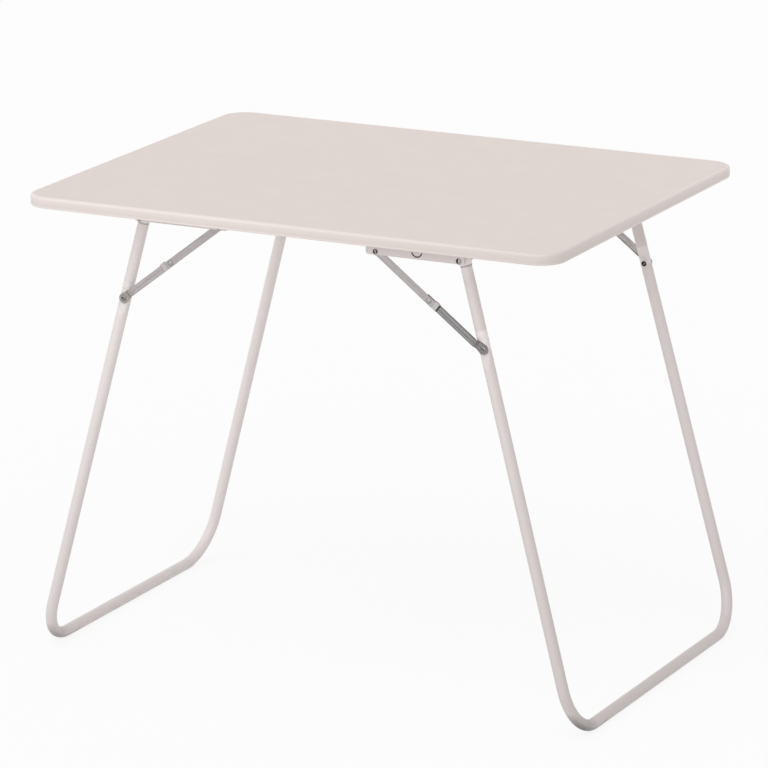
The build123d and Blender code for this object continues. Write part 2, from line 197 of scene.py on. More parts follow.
# %% [markdown]
# Powder coat and pressed laminate both have a gentle pebbled skin. Displaced geometry would need
# millions of faces for it. Two sizes of noise added together give rounder and finer dimples, and
# their sum is a height for the Bump node.

# %% Effect: pebbled skin
fine_per_coarse, fine_share = 3.0, 0.35

pebbled_skin, given, result = make_group(
    "pebbled_skin", {"Vector": None, "Size": 0.001}, {"Height": "Float"})
coarse_scale = math(pebbled_skin, "DIVIDE", 1.0, given["Size"])
fine_scale = math(pebbled_skin, "DIVIDE", fine_per_coarse, given["Size"])
coarse = noise(pebbled_skin, given["Vector"], coarse_scale, detail=1.0)
fine = noise(pebbled_skin, given["Vector"], fine_scale, detail=2.0)
dimples = math(pebbled_skin, "ADD", coarse, math(pebbled_skin, "MULTIPLY", fine, fine_share))
feed(pebbled_skin, result["Height"], dimples)

# %% [markdown]
# Rolled strip and extruded edging carry fine lines along their length. A wave texture would make
# them too regular. Noise that is squeezed across the lines and stretched along them is uneven like
# the real grain, and the finish turns it by the vector that it passes in.

# %% Effect: drawn lines
streak_scale_share = 0.3
streak_low, streak_high = 0.35, 0.65

drawn_lines, given, result = make_group(
    "drawn_lines", {"Vector": None, "Line Width": 0.0004}, {"Height": "Float", "Streaks": "Float"})
line_scale = math(drawn_lines, "DIVIDE", 1.0, given["Line Width"])
streak_scale = math(drawn_lines, "DIVIDE", streak_scale_share, given["Line Width"])
streaks = noise(drawn_lines, given["Vector"], streak_scale)
feed(drawn_lines, result["Height"], noise(drawn_lines, given["Vector"], line_scale))
feed(drawn_lines, result["Streaks"], remap(drawn_lines, streaks, streak_low, streak_high, 0.0, 1.0))

# %% [markdown]
# Hands, the floor and moving links rub a finish in patches, never evenly. The patches could be
# painted by hand, but then each piece needs its own. This mask is noise cut off at a level, so it
# falls on any piece, and a higher amount lets more patches through.

# %% Effect: rubbed patches
bare_level, level_per_amount, border_sharpness = 0.85, 0.6, 8.0

rubbed_patches, given, result = make_group(
    "rubbed_patches", {"Vector": None, "Size": 0.01, "Amount": 0.3}, {"Mask": "Float"})
patch_scale = math(rubbed_patches, "DIVIDE", 1.0, given["Size"])
patches = noise(rubbed_patches, given["Vector"], patch_scale, detail=5.0, roughness=0.65)
let_through = math(rubbed_patches, "MULTIPLY", given["Amount"], level_per_amount)
level = math(rubbed_patches, "SUBTRACT", bare_level, let_through)
above_level = math(rubbed_patches, "SUBTRACT", patches, level)
sharpened = math(rubbed_patches, "MULTIPLY", above_level, border_sharpness)
mask = add_node(rubbed_patches, "ShaderNodeClamp", {"Value": sharpened}).outputs[0]
feed(rubbed_patches, result["Mask"], mask)

# %% [markdown]
# ## Starting a finish
# Each finish begins with the Principled shader and the place of a point on its object. A picture
# would need every surface unrolled, but a pattern that reads the place has its real size on every
# piece. A second helper then gives the finish to the CAD nodes that it is for.


# %% Beginning a finish and giving it to nodes
def new_material(name, roughness, metallic=0.0, specular=0.5):
    material = bpy.data.materials.new(name)
    material.use_nodes = True
    tree = material.node_tree
    shader = tree.nodes["Principled BSDF"].inputs
    shader["Roughness"].default_value = roughness
    shader["Metallic"].default_value = metallic
    shader["Specular IOR Level"].default_value = specular
    place = add_node(tree, "ShaderNodeTexCoord").outputs["Object"]
    print("new finish", name, "with roughness", roughness)
    return material, tree, shader, place


def finish_nodes(material, *node_names):
    for node_name in node_names:
        nodes[node_name].data.materials.clear()
        nodes[node_name].data.materials.append(material)
    print(material.name, "covers", ", ".join(node_names))


print("CAD nodes to finish:", ", ".join(sorted(nodes)))

# %% [markdown]
# A finish is built up in layers, as a painter would do it. Each layer could be wired anew, but three
# helpers say it in a line: one places a shared effect with its own values, relief sends a height
# through a Bump node, and a tint lays a second colour over the first where a mask is white.


# %% Layers of a finish
def place_group(tree, group, **inputs):
    node = tree.nodes.new("ShaderNodeGroup")
    node.node_tree = group
    for key, value in inputs.items():
        feed(tree, node.inputs[key.replace("_", " ")], value)
    return node.outputs


def relief(tree, shader, height, depth):
    bump = add_node(tree, "ShaderNodeBump", {"Height": height, "Strength": 1.0, "Distance": depth})
    tree.links.new(bump.outputs["Normal"], shader["Normal"])


def tint(tree, shader, mask, colour, share):
    finished = shader["Base Color"].links[0].from_socket
    strength = math(tree, "MULTIPLY", mask, share)
    feed(tree, shader["Base Color"], mix_colours(tree, strength, finished, colour))


print("layers:", ", ".join(helper.__name__ for helper in (place_group, relief, tint)))

# %% [markdown]
# ## The board's laminate
# The top and the underside are sheets of pressed decorative laminate: hard, silky and faintly
# pebbled. A picture of laminate could be laid on them, but it would repeat. Noise has no seams, so
# it varies the colour by a hair, and the relief is only some hundredths of a millimetre deep,
# enough to soften reflections.

# %% Laminate
laminate_colour = (0.736, 0.655, 0.620)
sheen_scale = 25
sheen_low, sheen_high = 0.3, 0.7
silkiest, dullest = 0.44, 0.56
pebble_size, pebble_depth = 1.4 * mm, 0.025 * mm

laminate, tree, shader, place = new_material("greige_laminate", 0.5)
tone = place_group(tree, varied_tone, Vector=place, Colour=laminate_colour, Cloud_Size=90 * mm,
                   Cloud_Strength=0.004, Fleck_Size=1.2 * mm, Fleck_Strength=0.015)["Colour"]
feed(tree, shader["Base Color"], tone)
sheen = noise(tree, place, sheen_scale)
feed(tree, shader["Roughness"], remap(tree, sheen, sheen_low, sheen_high, silkiest, dullest))
pebbles = place_group(tree, pebbled_skin, Vector=place, Size=pebble_size)["Height"]
relief(tree, shader, pebbles, pebble_depth)
finish_nodes(laminate, "top_laminate", "bottom_laminate")

# %% [markdown]
# ## The edging
# The edging is a strip of extruded plastic in the laminate's colour, a little glossier, so its
# rounded upper arris catches a thin highlight. Its lines are finer than a hair, too fine to model,
# and run round the board, so the noise varies only with height. Its colour is painted darker low
# down and lighter at the top: painted shade on the lower face and a painted highlight above.

# %% Edging
lower_shade_colour, upper_highlight_colour = (0.645, 0.577, 0.555), (0.785, 0.703, 0.673)
glossy_roughness, streaked_roughness = 0.30, 0.40
stretch_share = 0.01
line_width, line_depth = 0.6 * mm, 0.006 * mm

lipping, tree, shader, place = new_material("greige_edging", 0.34)
stretched = {"Vector": place, "Scale": (stretch_share, stretch_share, 1.0)}
along_edge = add_node(tree, "ShaderNodeMapping", stretched).outputs[0]
lines = place_group(tree, drawn_lines, Vector=along_edge, Line_Width=line_width)
edging_low, edging_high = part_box("edge_lipping")
height = add_node(tree, "ShaderNodeSeparateXYZ", {0: place}).outputs["Z"]
up_the_edge = remap(tree, height, edging_low.z, edging_high.z, 0.0, 1.0)
# Painted shade and highlight: darker low on the edging, lighter towards the top.
shaded_by_height = mix_colours(tree, up_the_edge, lower_shade_colour, upper_highlight_colour)
tone = place_group(tree, varied_tone, Vector=place, Colour=shaded_by_height, Cloud_Size=60 * mm,
                   Cloud_Strength=0.008, Fleck_Size=0.8 * mm, Fleck_Strength=0.01)["Colour"]
feed(tree, shader["Base Color"], tone)
streaked = remap(tree, lines["Streaks"], 0.0, 1.0, glossy_roughness, streaked_roughness)
feed(tree, shader["Roughness"], streaked)
relief(tree, shader, lines["Height"], line_depth)

# %% [markdown]
# Two marks of painted light go over it. The lower arris is painted pale, a painted light from the
# floor below, and the edging is painted darker towards the right front corner, a painted shade.
# Both could be painted on an unwrapped surface, but the height tells where the arris is, and the
# distance from the corner tells where the shade goes.


# %% Painted light and shade on the edging
def distance_between(tree, place, point):
    values = {0: place, 1: point}
    return add_node(tree, "ShaderNodeVectorMath", values, operation="DISTANCE").outputs["Value"]


arris_height, arris_fade = 2.2 * mm, 1.6 * mm
arris_bounce_colour, arris_bounce_share = (0.80, 0.72, 0.695), 0.9
corner_shade_reach = 500 * mm
corner_shade_colour, corner_shade_share = (0.572, 0.512, 0.49), 0.45

arris_top = edging_low.z + arris_height
# Painted light: the lower arris is lightened as if lit from the floor below.
lower_arris_bounce = remap(tree, height, arris_top, arris_top + arris_fade, 1.0, 0.0)
tint(tree, shader, lower_arris_bounce, arris_bounce_colour, arris_bounce_share)
right_front_corner = (edging_high.x, edging_low.y, edging_high.z)
# Painted shade: darker towards the right front corner.
from_corner = distance_between(tree, place, right_front_corner)
corner_shade = remap(tree, from_corner, 0.0, corner_shade_reach, 1.0, 0.0)
tint(tree, shader, corner_shade, corner_shade_colour, corner_shade_share)
finish_nodes(lipping, "edge_lipping")

# %% [markdown]
# ## The core
# The core is particle board, which only shows inside the screw holes: pressed chips of many tones.
# Plain noise would blur them into clouds. Voronoi cells have sharp borders, so flattened cells that
# each take a shade between dark and light wood read as chips.

# %% Particle board
dark_chip, light_chip = (0.30, 0.19, 0.10), (0.62, 0.46, 0.28)
chips_per_metre = 450.0
chip_flattening = 3.0
chip_depth = 0.2 * mm

core, tree, shader, place = new_material("particle_board", 0.85)
flattened = {"Vector": place, "Scale": (1.0, 1.0, chip_flattening)}
flat_chips = add_node(tree, "ShaderNodeMapping", flattened).outputs[0]
chips = add_node(tree, "ShaderNodeTexVoronoi", {"Vector": flat_chips, "Scale": chips_per_metre})
chip_shade = add_node(tree, "ShaderNodeSeparateColor", {0: chips.outputs["Color"]}).outputs[0]
feed(tree, shader["Base Color"], mix_colours(tree, chip_shade, dark_chip, light_chip))
relief(tree, shader, chips.outputs["Distance"], chip_depth)
finish_nodes(core, "board_core")

# %% [markdown]
# ## The painted steel
# Tubes and brackets share one greige powder coat: baked on, evenly coloured, with the slight orange
# peel of melted powder. One finish for both would do, but the tubes wear where the brackets don't,
# so a function makes the coat and takes the wear as an option. Where the coat comes near the
# floor, it is scuffed.

# %% Powder coat
corners = ["right_front", "right_back", "left_front", "left_back"]
# Tubes and brackets carry the same coat, but the brackets' colour is set darker: painted shade on the cheeks
# under the board.
shaded_bracket_colour = (0.70, 0.638, 0.637)
coat_roughness, scuffed_roughness = 0.38, 0.55
peel_size, peel_depth = 0.9 * mm, 0.014 * mm
scuff_height, scuff_size = 20 * mm, 12 * mm
scuff_colour, scuff_share = (0.40, 0.36, 0.34), 0.3


def powder_coat(name, colour, worn=None):
    material, tree, shader, place = new_material(name, coat_roughness)
    tone = place_group(tree, varied_tone, Vector=place, Colour=colour, Cloud_Size=50 * mm,
                       Cloud_Strength=0.01, Fleck_Size=0.7 * mm, Fleck_Strength=0.02)["Colour"]
    height = add_node(tree, "ShaderNodeSeparateXYZ", {0: place}).outputs["Z"]
    near_floor = remap(tree, height, 0.0, scuff_height, 1.0, 0.0)
    if worn:
        near_floor = math(tree, "MAXIMUM", near_floor, worn(tree, place))
    rubbed = place_group(tree, rubbed_patches, Vector=place, Size=scuff_size, Amount=0.55)["Mask"]
    scuffs = math(tree, "MULTIPLY", math(tree, "MULTIPLY", near_floor, rubbed), scuff_share)
    feed(tree, shader["Base Color"], mix_colours(tree, scuffs, tone, scuff_colour))
    dulled = remap(tree, scuffs, 0.0, scuff_share, coat_roughness, scuffed_roughness)
    feed(tree, shader["Roughness"], dulled)
    peel = place_group(tree, pebbled_skin, Vector=place, Size=peel_size)["Height"]
    relief(tree, shader, peel, peel_depth)
    return material, tree, shader, place


bracket_paint, tree, shader, place = powder_coat("greige_bracket_paint", shaded_bracket_colour)
finish_nodes(bracket_paint, *[f"{corner}_bracket" for corner in corners])

# %% [markdown]
# Each outer cheek has a spring tongue, freed by a round slot that the CAD model cuts. The slot's
# lower half is painted dark, a painted shade for the shadowed inside of the bracket, and reads as a
# dark arc. The arc could be a thin mesh, but shade has no thickness, so it is colour: a band of
# distance from the tongue's centre. The absolute value of the place folds all four corners onto
# one, so one centre serves every bracket.

# %% Painted shade in the tongue slot
tongue_radius = 7.6 * mm
tongue_drop = 6.8 * mm
slot_half_width = 1.3 * mm
shade_below_centre, shade_fade = 2.6 * mm, 1 * mm
slot_shade_colour, slot_shade_share = (0.16, 0.14, 0.145), 0.9
band_core_share = 0.8


def mirrored_place(tree, place):
    return add_node(tree, "ShaderNodeVectorMath", {0: place}, operation="ABSOLUTE").outputs[0]


def band(tree, distance, middle, half_width):
    offset = math(tree, "ABSOLUTE", math(tree, "SUBTRACT", distance, middle))
    return remap(tree, offset, half_width * band_core_share, half_width, 1.0, 0.0)


pivot, stay_top = joint_place["right_leg_fold"], joint_place["right_front_upper_link_swing"]
tongue_centre = ((pivot.x + stay_top.x) / 2, 0, edging_low.z - tongue_drop)
onto_cheek = {0: mirrored_place(tree, place), 1: (1, 0, 1)}
in_cheek = add_node(tree, "ShaderNodeVectorMath", onto_cheek, operation="MULTIPLY").outputs[0]
from_centre = distance_between(tree, in_cheek, tongue_centre)
slot_ring = band(tree, from_centre, tongue_radius, slot_half_width)
height = add_node(tree, "ShaderNodeSeparateXYZ", {0: place}).outputs["Z"]
shade_top = tongue_centre[2] - shade_below_centre
lower_half = remap(tree, height, shade_top - shade_fade, shade_top + shade_fade, 1.0, 0.0)
# Painted shade: the lower half of the slot ring is darkened.
tint(tree, shader, math(tree, "MULTIPLY", slot_ring, lower_half), slot_shade_colour, slot_shade_share)
print("slot centre", [round(value / mm, 1) for value in tongue_centre], "mm")

# %% [markdown]
# ## Where marks sit on the tubes
# A mark on a leg is told by the distance down the leg from its pivot, which is a dot product with
# the leg's direction. How strong it is differs from leg to leg, so a second measure runs from
# left to right and from front to back. Unwrapping the tubes could do the same, with more work.

# %% Measures on the tubes
leg_splay = radians(15)
stay_reach = 124 * mm
rubbed_reach = 16 * mm
frame_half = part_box("left_leg_tube")[1].y


def distance_along(tree, place, start, direction):
    from_start = {0: mirrored_place(tree, place), 1: tuple(start)}
    offset = add_node(tree, "ShaderNodeVectorMath", from_start, operation="SUBTRACT").outputs[0]
    onto_line = {0: offset, 1: direction}
    return add_node(tree, "ShaderNodeVectorMath", onto_line, operation="DOT_PRODUCT").outputs["Value"]


def down_leg(tree, place):
    return distance_along(tree, place, pivot, (sin(leg_splay), 0, -cos(leg_splay)))


def by_corner(tree, place, left, right, front, back):
    spot = add_node(tree, "ShaderNodeSeparateXYZ", {0: place}).outputs
    by_side = remap(tree, spot["X"], -pivot.x, pivot.x, left, right)
    return math(tree, "ADD", by_side, remap(tree, spot["Y"], -frame_half, frame_half, front, back))


def stay_rub(tree, place):
    return band(tree, down_leg(tree, place), stay_reach, rubbed_reach)


print("stays rub the tubes", round(stay_reach / mm), "mm below the pivot")

# %% [markdown]
# The collar at each tube's top is painted lighter, a painted light against the shade under the
# board, while the rest is darkened in several ways. Each part could have a finish of its own, with a
# border where they meet. One finish that measures its place is easier to keep in tune, so the
# marks go over the paint one after another.

# %% Tube paint
# The tubes' colour is set lighter than the brackets': painted light on the same coat.
lit_tube_colour, collar_light_colour = (0.79, 0.74, 0.728), (0.90, 0.845, 0.83)
collar_rim, rim_fade = 9 * mm, 0.5 * mm

tube_paint, tree, shader, place = powder_coat("greige_powder_coat", lit_tube_colour, stay_rub)
down = down_leg(tree, place)
# Painted light: the collar is lightened down to its rim.
collar_light = remap(tree, down, collar_rim - rim_fade, collar_rim + rim_fade, 1.0, 0.0)
tint(tree, shader, collar_light, collar_light_colour, 1.0)
print("clean collars are", round(collar_rim / mm), "mm long")

# %% [markdown]
# Below the collar the paint is darker, a painted shade, most at the right front, except in a band
# where the stay's foot passes. The back tubes are darkest close under the board, a painted shadow
# of the board. A noise would spread the shade evenly, so its strength comes from the corner, and
# three masks along the leg say where it lies.

# %% Painted shade below the collar
shade_full_at = 30 * mm
tube_shade_colour = (0.66, 0.608, 0.598)
wiped_at, wiped_half = 112 * mm, 14 * mm
board_shadow_to, board_shadow_fade, board_shadow_share = 110 * mm, 40 * mm, 0.9

below_collar = remap(tree, down, collar_rim, shade_full_at, 0.0, 1.0)
not_wiped = math(tree, "SUBTRACT", 1.0, band(tree, down, wiped_at, wiped_half))
under_board = remap(tree, down, board_shadow_to, board_shadow_to + board_shadow_fade, board_shadow_share, 0.0)
at_back = by_corner(tree, place, left=0.0, right=0.0, front=0.0, back=1.0)
board_shadow = math(tree, "MULTIPLY", under_board, at_back)
tube_corner_shade = by_corner(tree, place, left=0.17, right=0.80, front=0.16, back=-0.16)
shade_strength = math(tree, "MAXIMUM", tube_corner_shade, board_shadow)
painted_tube_shade = math(tree, "MULTIPLY", math(tree, "MULTIPLY", below_collar, not_wiped), shade_strength)
# Painted shade: darker below the collar by corner, with a painted shadow of the board on the back tubes.
tint(tree, shader, painted_tube_shade, tube_shade_colour, 1.0)
print("stays wipe the tubes clean", round(wiped_at / mm), "mm below the pivot")

# %% [markdown]
# The tubes get darker towards the floor, more on the right than on the left, and have a thin dark
# line under the collar's rim, partly dust and partly painted shade under the rim. Both could be
# loose specks on the mesh, but from a step away they are only a change of colour. So the distance
# down the leg places both, and the corner says how strong the lower darkening is.

# %% Darkening on the tubes
darker_from, darker_to = 180 * mm, 600 * mm
lower_tube_colour = (0.56, 0.512, 0.502)
rim_width = 1.4 * mm
rim_dust_and_shade_colour, rim_dust_and_shade_share = (0.42, 0.385, 0.38), 0.85

towards_floor = remap(tree, down, darker_from, darker_to, 0.0, 1.0)
lower_darkening = by_corner(tree, place, left=0.35, right=0.75, front=0.14, back=-0.14)
tint(tree, shader, math(tree, "MULTIPLY", towards_floor, lower_darkening), lower_tube_colour, 1.0)
rim_line = band(tree, down, collar_rim + rim_width / 2, rim_width)
# Partly dust, partly painted shade: a thin dark line under the collar's rim.
tint(tree, shader, rim_line, rim_dust_and_shade_colour, rim_dust_and_shade_share)
finish_nodes(tube_paint, "right_leg_tube", "left_leg_tube")

# %% [markdown]
# The front bends are darker all round near the floor and darkest on the outer side, the left one
# a little less. Specks on the mesh could give it, but it has no thickness worth modelling. So it
# is colour where a few measures agree: the height, the distance behind the front and, for the
# outer side, the distance from the bend's centre.

# %% Darkening on the front bends
tube_diameter, bend_radius = 16 * mm, 65 * mm
bend_outer_radius = bend_radius + tube_diameter / 2
bend_height, bend_fade = 14 * mm, 26 * mm
bend_reach, bend_reach_fade = 46 * mm, 26 * mm
low_bend_colour = (0.36, 0.325, 0.32)
outer_fade = 7 * mm
outer_reach, outer_reach_fade = 88 * mm, 14 * mm
outer_bend_colour = (0.10, 0.09, 0.087)
bend_darkening_share, left_share = 0.85, 0.6

spot = add_node(tree, "ShaderNodeSeparateXYZ", {0: place}).outputs
right_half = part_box("right_leg_tube")[1].y
front_half = remap(tree, spot["X"], -pivot.x, pivot.x, frame_half, right_half)
behind_front = math(tree, "ADD", spot["Y"], front_half)
up_the_frame = math(tree, "DIVIDE", spot["Z"], cos(leg_splay))
in_bend = add_node(tree, "ShaderNodeCombineXYZ", {"Y": behind_front, "Z": up_the_frame}).outputs[0]
from_bend = distance_between(tree, in_bend, (0, bend_outer_radius, bend_outer_radius))
low = remap(tree, spot["Z"], bend_height, bend_height + bend_fade, 1.0, 0.0)
outer_side = remap(tree, from_bend, bend_outer_radius - outer_fade, bend_outer_radius, 0.0, 1.0)
low_outside = math(tree, "MULTIPLY", low, outer_side)
by_side = remap(tree, spot["X"], -pivot.x, pivot.x, left_share, 1.0)
for mask, reach_back, reach_fade, colour in (
        (low, bend_reach, bend_reach_fade, low_bend_colour),
        (low_outside, outer_reach, outer_reach_fade, outer_bend_colour)):
    near_front = remap(tree, behind_front, reach_back, reach_back + reach_fade, 1.0, 0.0)
    darkened_bend = math(tree, "MULTIPLY", math(tree, "MULTIPLY", mask, near_front), by_side)
    tint(tree, shader, darkened_bend, colour, bend_darkening_share)
print("grime reaches", round(outer_reach / mm), "mm behind the front of each frame")

# %% [markdown]
# ## The plated stays
# The links are pressed from zinc-plated strip, so they are bare metal with a cloudy grey bloom and
# lines along their length. Plain metal would mirror the white room evenly and look like plastic.
# Two measures place the detail: the distance along the stay from its upper rivet, and the distance
# across it from its centre line. Both are dot products, so one function serves every stay.

# %% Zinc plate
stay_fall = radians(37.5)
along_stay = (cos(stay_fall), 0, -sin(stay_fall))
across_stay = (sin(stay_fall), 0, cos(stay_fall))
bright_zinc, bright_zinc_dark = (0.50, 0.466, 0.462), (0.36, 0.335, 0.332)
grain_stretch_share, grain_width, grain_depth = 0.03, 0.5 * mm, 0.008 * mm
streak_share, bloom_share = 0.5, 0.35
smoother, duller = -0.05, 0.1
link_roughness = 0.36


def zinc_plate(name, colour, dark_colour, roughness):
    material, tree, shader, place = new_material(name, roughness, metallic=1.0)
    along = distance_along(tree, place, stay_top, along_stay)
    across = distance_along(tree, place, stay_top, across_stay)
    depth = add_node(tree, "ShaderNodeSeparateXYZ", {0: place}).outputs["Y"]
    grain = {"X": math(tree, "MULTIPLY", along, grain_stretch_share), "Y": depth, "Z": across}
    grain_place = add_node(tree, "ShaderNodeCombineXYZ", grain).outputs[0]
    lines = place_group(tree, drawn_lines, Vector=grain_place, Line_Width=grain_width)
    bloom = place_group(tree, rubbed_patches, Vector=place, Size=6 * mm, Amount=0.75)["Mask"]
    streaked = mix_colours(tree, math(tree, "MULTIPLY", lines["Streaks"], streak_share), colour, dark_colour)
    bloomed = mix_colours(tree, math(tree, "MULTIPLY", bloom, bloom_share), streaked, dark_colour)
    feed(tree, shader["Base Color"], bloomed)
    feed(tree, shader["Roughness"], remap(tree, bloom, 0.0, 1.0, roughness + smoother, roughness + duller))
    relief(tree, shader, lines["Height"], grain_depth)
    return material, tree, shader, along, across


spacer_zinc = zinc_plate("zinc_plate_spacers", bright_zinc, bright_zinc_dark, link_roughness)[0]
finish_nodes(spacer_zinc, "pivot_spacers")

# %% [markdown]
# The upper link is painted brighter towards its end, a painted highlight where its stop tab is
# bent. One finish could serve every link, but then no stay could have a mark of its own, so each
# link gets its own finish.

# %% Upper links
upper_link_end = 113.9 * mm
bent_length, bent_highlight_share = 7 * mm, 0.5
highlight_zinc = (0.62, 0.60, 0.60)

for corner in corners:
    name = f"zinc_{corner}_upper"
    upper_zinc, tree, shader, along = zinc_plate(name, bright_zinc, bright_zinc_dark, link_roughness)[:4]
    # Painted highlight on the bent end of the link.
    bent_highlight = band(tree, along, upper_link_end - bent_length / 2, bent_length / 2)
    tint(tree, shader, bent_highlight, highlight_zinc, bent_highlight_share)
    finish_nodes(upper_zinc, f"{corner}_upper_link")

# %% [markdown]
# The lower link has a groove pressed along it in the CAD model, with a painted highlight line on
# each side. It darkens round its foot rivet, and a painted shadow of the upper link's end lies
# just past it. The right front one is darker than the rest, with a stronger painted shadow, as in
# the photograph. Painted marks would need each link unwrapped, but bands of the two distances fall
# in the same place on every one.

# %% Lower links
dull_zinc, dull_zinc_dark = (0.30, 0.287, 0.288), (0.20, 0.19, 0.195)
lower_roughness = 0.40
groove_highlight, groove_highlight_half, groove_highlight_share = 2.4 * mm, 0.6 * mm, 0.35
stain_from, stain_to = 172 * mm, 180 * mm
stain_colour, stain_share = (0.20, 0.175, 0.165), 0.35
shadow_past_end, shadow_width = 0.91 * mm, 1.3 * mm
end_shadow_colour, end_shadow_share, right_front_shadow_share = (0.05, 0.047, 0.05), 0.3, 0.9

for corner in corners:
    is_right_front = corner == "right_front"
    colours = (dull_zinc, dull_zinc_dark) if is_right_front else (bright_zinc, bright_zinc_dark)
    name = f"zinc_{corner}_lower"
    lower_zinc, tree, shader, along, across = zinc_plate(name, *colours, lower_roughness)
    # Painted highlight: lighter lines on each side of the groove.
    highlight_lines = band(tree, math(tree, "ABSOLUTE", across), groove_highlight, groove_highlight_half)
    tint(tree, shader, highlight_lines, highlight_zinc, groove_highlight_share)
    stain = remap(tree, along, stain_from, stain_to, 0.0, 1.0)
    tint(tree, shader, stain, stain_colour, stain_share)
    # Painted shadow of the upper link's end on the lower link.
    end_shadow = band(tree, along, upper_link_end + shadow_past_end, shadow_width)
    tint(tree, shader, end_shadow, end_shadow_colour, right_front_shadow_share if is_right_front else end_shadow_share)
    finish_nodes(lower_zinc, f"{corner}_lower_link")

# %% [markdown]
# ## The rivet steel
# Rivet heads are formed by a spinning tool, which polishes the crown and leaves fine rings on it,
# while dirt and plating salts stay in the groove at the rim and in the hollow of a tubular end. The
# dark groove and hollow are partly that dirt and partly painted shade, and the bright crown partly
# polish and partly a painted highlight. A texture per rivet could show that, but each turned piece
# can carry it on its own mesh instead: its distance from its axis, in millimetres, and its shine,
# from 0 in a groove to 1 on polished metal.

# %% Rivet steel
groove_colour, crown_colour = (0.045, 0.042, 0.043), (0.68, 0.66, 0.65)
groove_roughness, crown_roughness = 0.55, 0.22
rings_per_mm, ring_depth = 3.5, 0.01 * mm
bloomed_share = 0.8

rivet_steel, tree, shader, place = new_material("rivet_steel", crown_roughness, metallic=1.0)
distance = add_node(tree, "ShaderNodeAttribute", attribute_name="axis_distance").outputs["Fac"]
shine = add_node(tree, "ShaderNodeAttribute", attribute_name="shine").outputs["Fac"]
rings = math(tree, "SINE", math(tree, "MULTIPLY", distance, 2 * pi * rings_per_mm))
bloom = place_group(tree, rubbed_patches, Vector=place, Size=2 * mm, Amount=0.6)["Mask"]
# Shine gives painted shade in the grooves and a painted highlight on the crowns, partly real dirt and
# polish.
crown_share = math(tree, "MULTIPLY", shine, remap(tree, bloom, 0.0, 1.0, 1.0, bloomed_share))
feed(tree, shader["Base Color"], mix_colours(tree, crown_share, groove_colour, crown_colour))
feed(tree, shader["Roughness"], remap(tree, shine, 0.0, 1.0, groove_roughness, crown_roughness))
relief(tree, shader, rings, ring_depth)

# %% [markdown]
# ## Turned pieces
# Rivets, pins and screws are round. Stacked cylinders would show hard steps, so each is a half
# profile spun about its axis, given from the inner end to the outer end. Where two points of a
# profile share a height or a radius, the spin makes a flat face or a straight wall.

# %% Spinning a profile
spin_steps = 40
merge_distance = 0.001 * mm


def turned_mesh():
    mesh = bmesh.new()
    for name in ("axis_distance", "shine"):
        mesh.verts.layers.float.new(name)
    return mesh


def spin_profile(mesh, centre, axis, across, profile):
    # The profile holds radius, distance along the axis and shine, the first two in millimetres
    distance_layer = mesh.verts.layers.float["axis_distance"]
    shine_layer = mesh.verts.layers.float["shine"]
    before = set(mesh.verts)
    added = []
    for radius, height, shine in profile:
        vertex = mesh.verts.new(centre + across * radius * mm + axis * height * mm)
        vertex[distance_layer], vertex[shine_layer] = radius, shine
        added.append(vertex)
    joined = [mesh.edges.new(pair) for pair in zip(added, added[1:])]
    bmesh.ops.spin(mesh, geom=added + joined, cent=centre, axis=axis, angle=2 * pi,
                   steps=spin_steps, use_merge=True)
    turned = [vertex for vertex in mesh.verts if vertex not in before]
    bmesh.ops.remove_doubles(mesh, verts=turned, dist=merge_distance)


print("one turn has", spin_steps, "steps")

# %% [markdown]
# ## From mesh to piece
# A finished mesh becomes an object at the origin, rides on its body and names its material slot.
# Smooth shading everywhere would smear the rims, and a bevel on each would cost many faces, so
# edges sharper than a given angle stay sharp and the rest is smooth.

# %% Beginning and finishing a piece
sharp_degrees = 38


def begin_piece(name):
    piece = bpy.data.objects.new(name, bpy.data.meshes.new(name))
    scene.collection.objects.link(piece)
    return piece


def finish_piece(piece, mesh, material, body):
    for face in mesh.faces:
        face.smooth = True
    for edge in mesh.edges:
        edge.smooth = len(edge.link_faces) == 2 and edge.calc_face_angle() < radians(sharp_degrees)
    mesh.to_mesh(piece.data)
    mesh.free()
    piece.data.materials.append(material)
    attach(piece, body)
    print(piece.name, "rides on", body, "with", len(piece.data.polygons), "faces")


print("edges that turn by", sharp_degrees, "degrees or more stay sharp")

# %% [markdown]
# ## Heads and rolled ends
# A formed head has a low crown inside a rim groove. The end of a semi-tubular rivet is rolled
# outwards into a ring round a hollow. Curves could give these outlines, but each has only a dozen
# points that matter, so each form is listed from the axis out to the seat, as radius and height
# above the seat, both in millimetres, and shine.

# %% Head and tail profiles
head_radius, head_height = 4.0, 1.2
shank_radius, pin_radius = 2.5, 3.0

polished_crown = [(0.0, head_height, 1.0), (0.9, 1.17, 1.0), (1.4, 1.1, 0.9), (1.8, 0.95, 0.5),
                  (2.3, 0.7, 0.05), (2.8, 0.4, 0.0), (3.3, 0.32, 0.0), (3.6, 0.5, 0.1), (3.85, 0.45, 0.4),
                  (head_radius, 0.28, 0.5), (head_radius, 0.0, 0.3)]
dished_head = [(0.0, 0.75, 0.7), (0.6, 0.72, 0.7), (0.95, 0.5, 0.15), (1.4, 0.3, 0.05), (2.4, 0.25, 0.05),
               (2.9, 0.45, 0.1), (3.2, 0.9, 0.3), (3.5, 0.95, 0.5), (3.8, 0.7, 0.6),
               (head_radius, 0.35, 0.6), (head_radius, 0.0, 0.5)]
tubular_end = [(0.0, 0.1, 0.7), (0.5, 0.05, 0.6), (0.8, -0.3, 0.1), (1.2, -0.3, 0.0), (1.5, 0.2, 0.0),
               (1.9, 0.9, 0.05), (2.3, head_height, 0.25), (2.7, 1.15, 0.5), (3.0, 0.9, 0.55),
               (3.3, 0.65, 0.35), (3.7, 0.5, 0.3), (head_radius, 0.15, 0.3), (head_radius, 0.0, 0.3)]
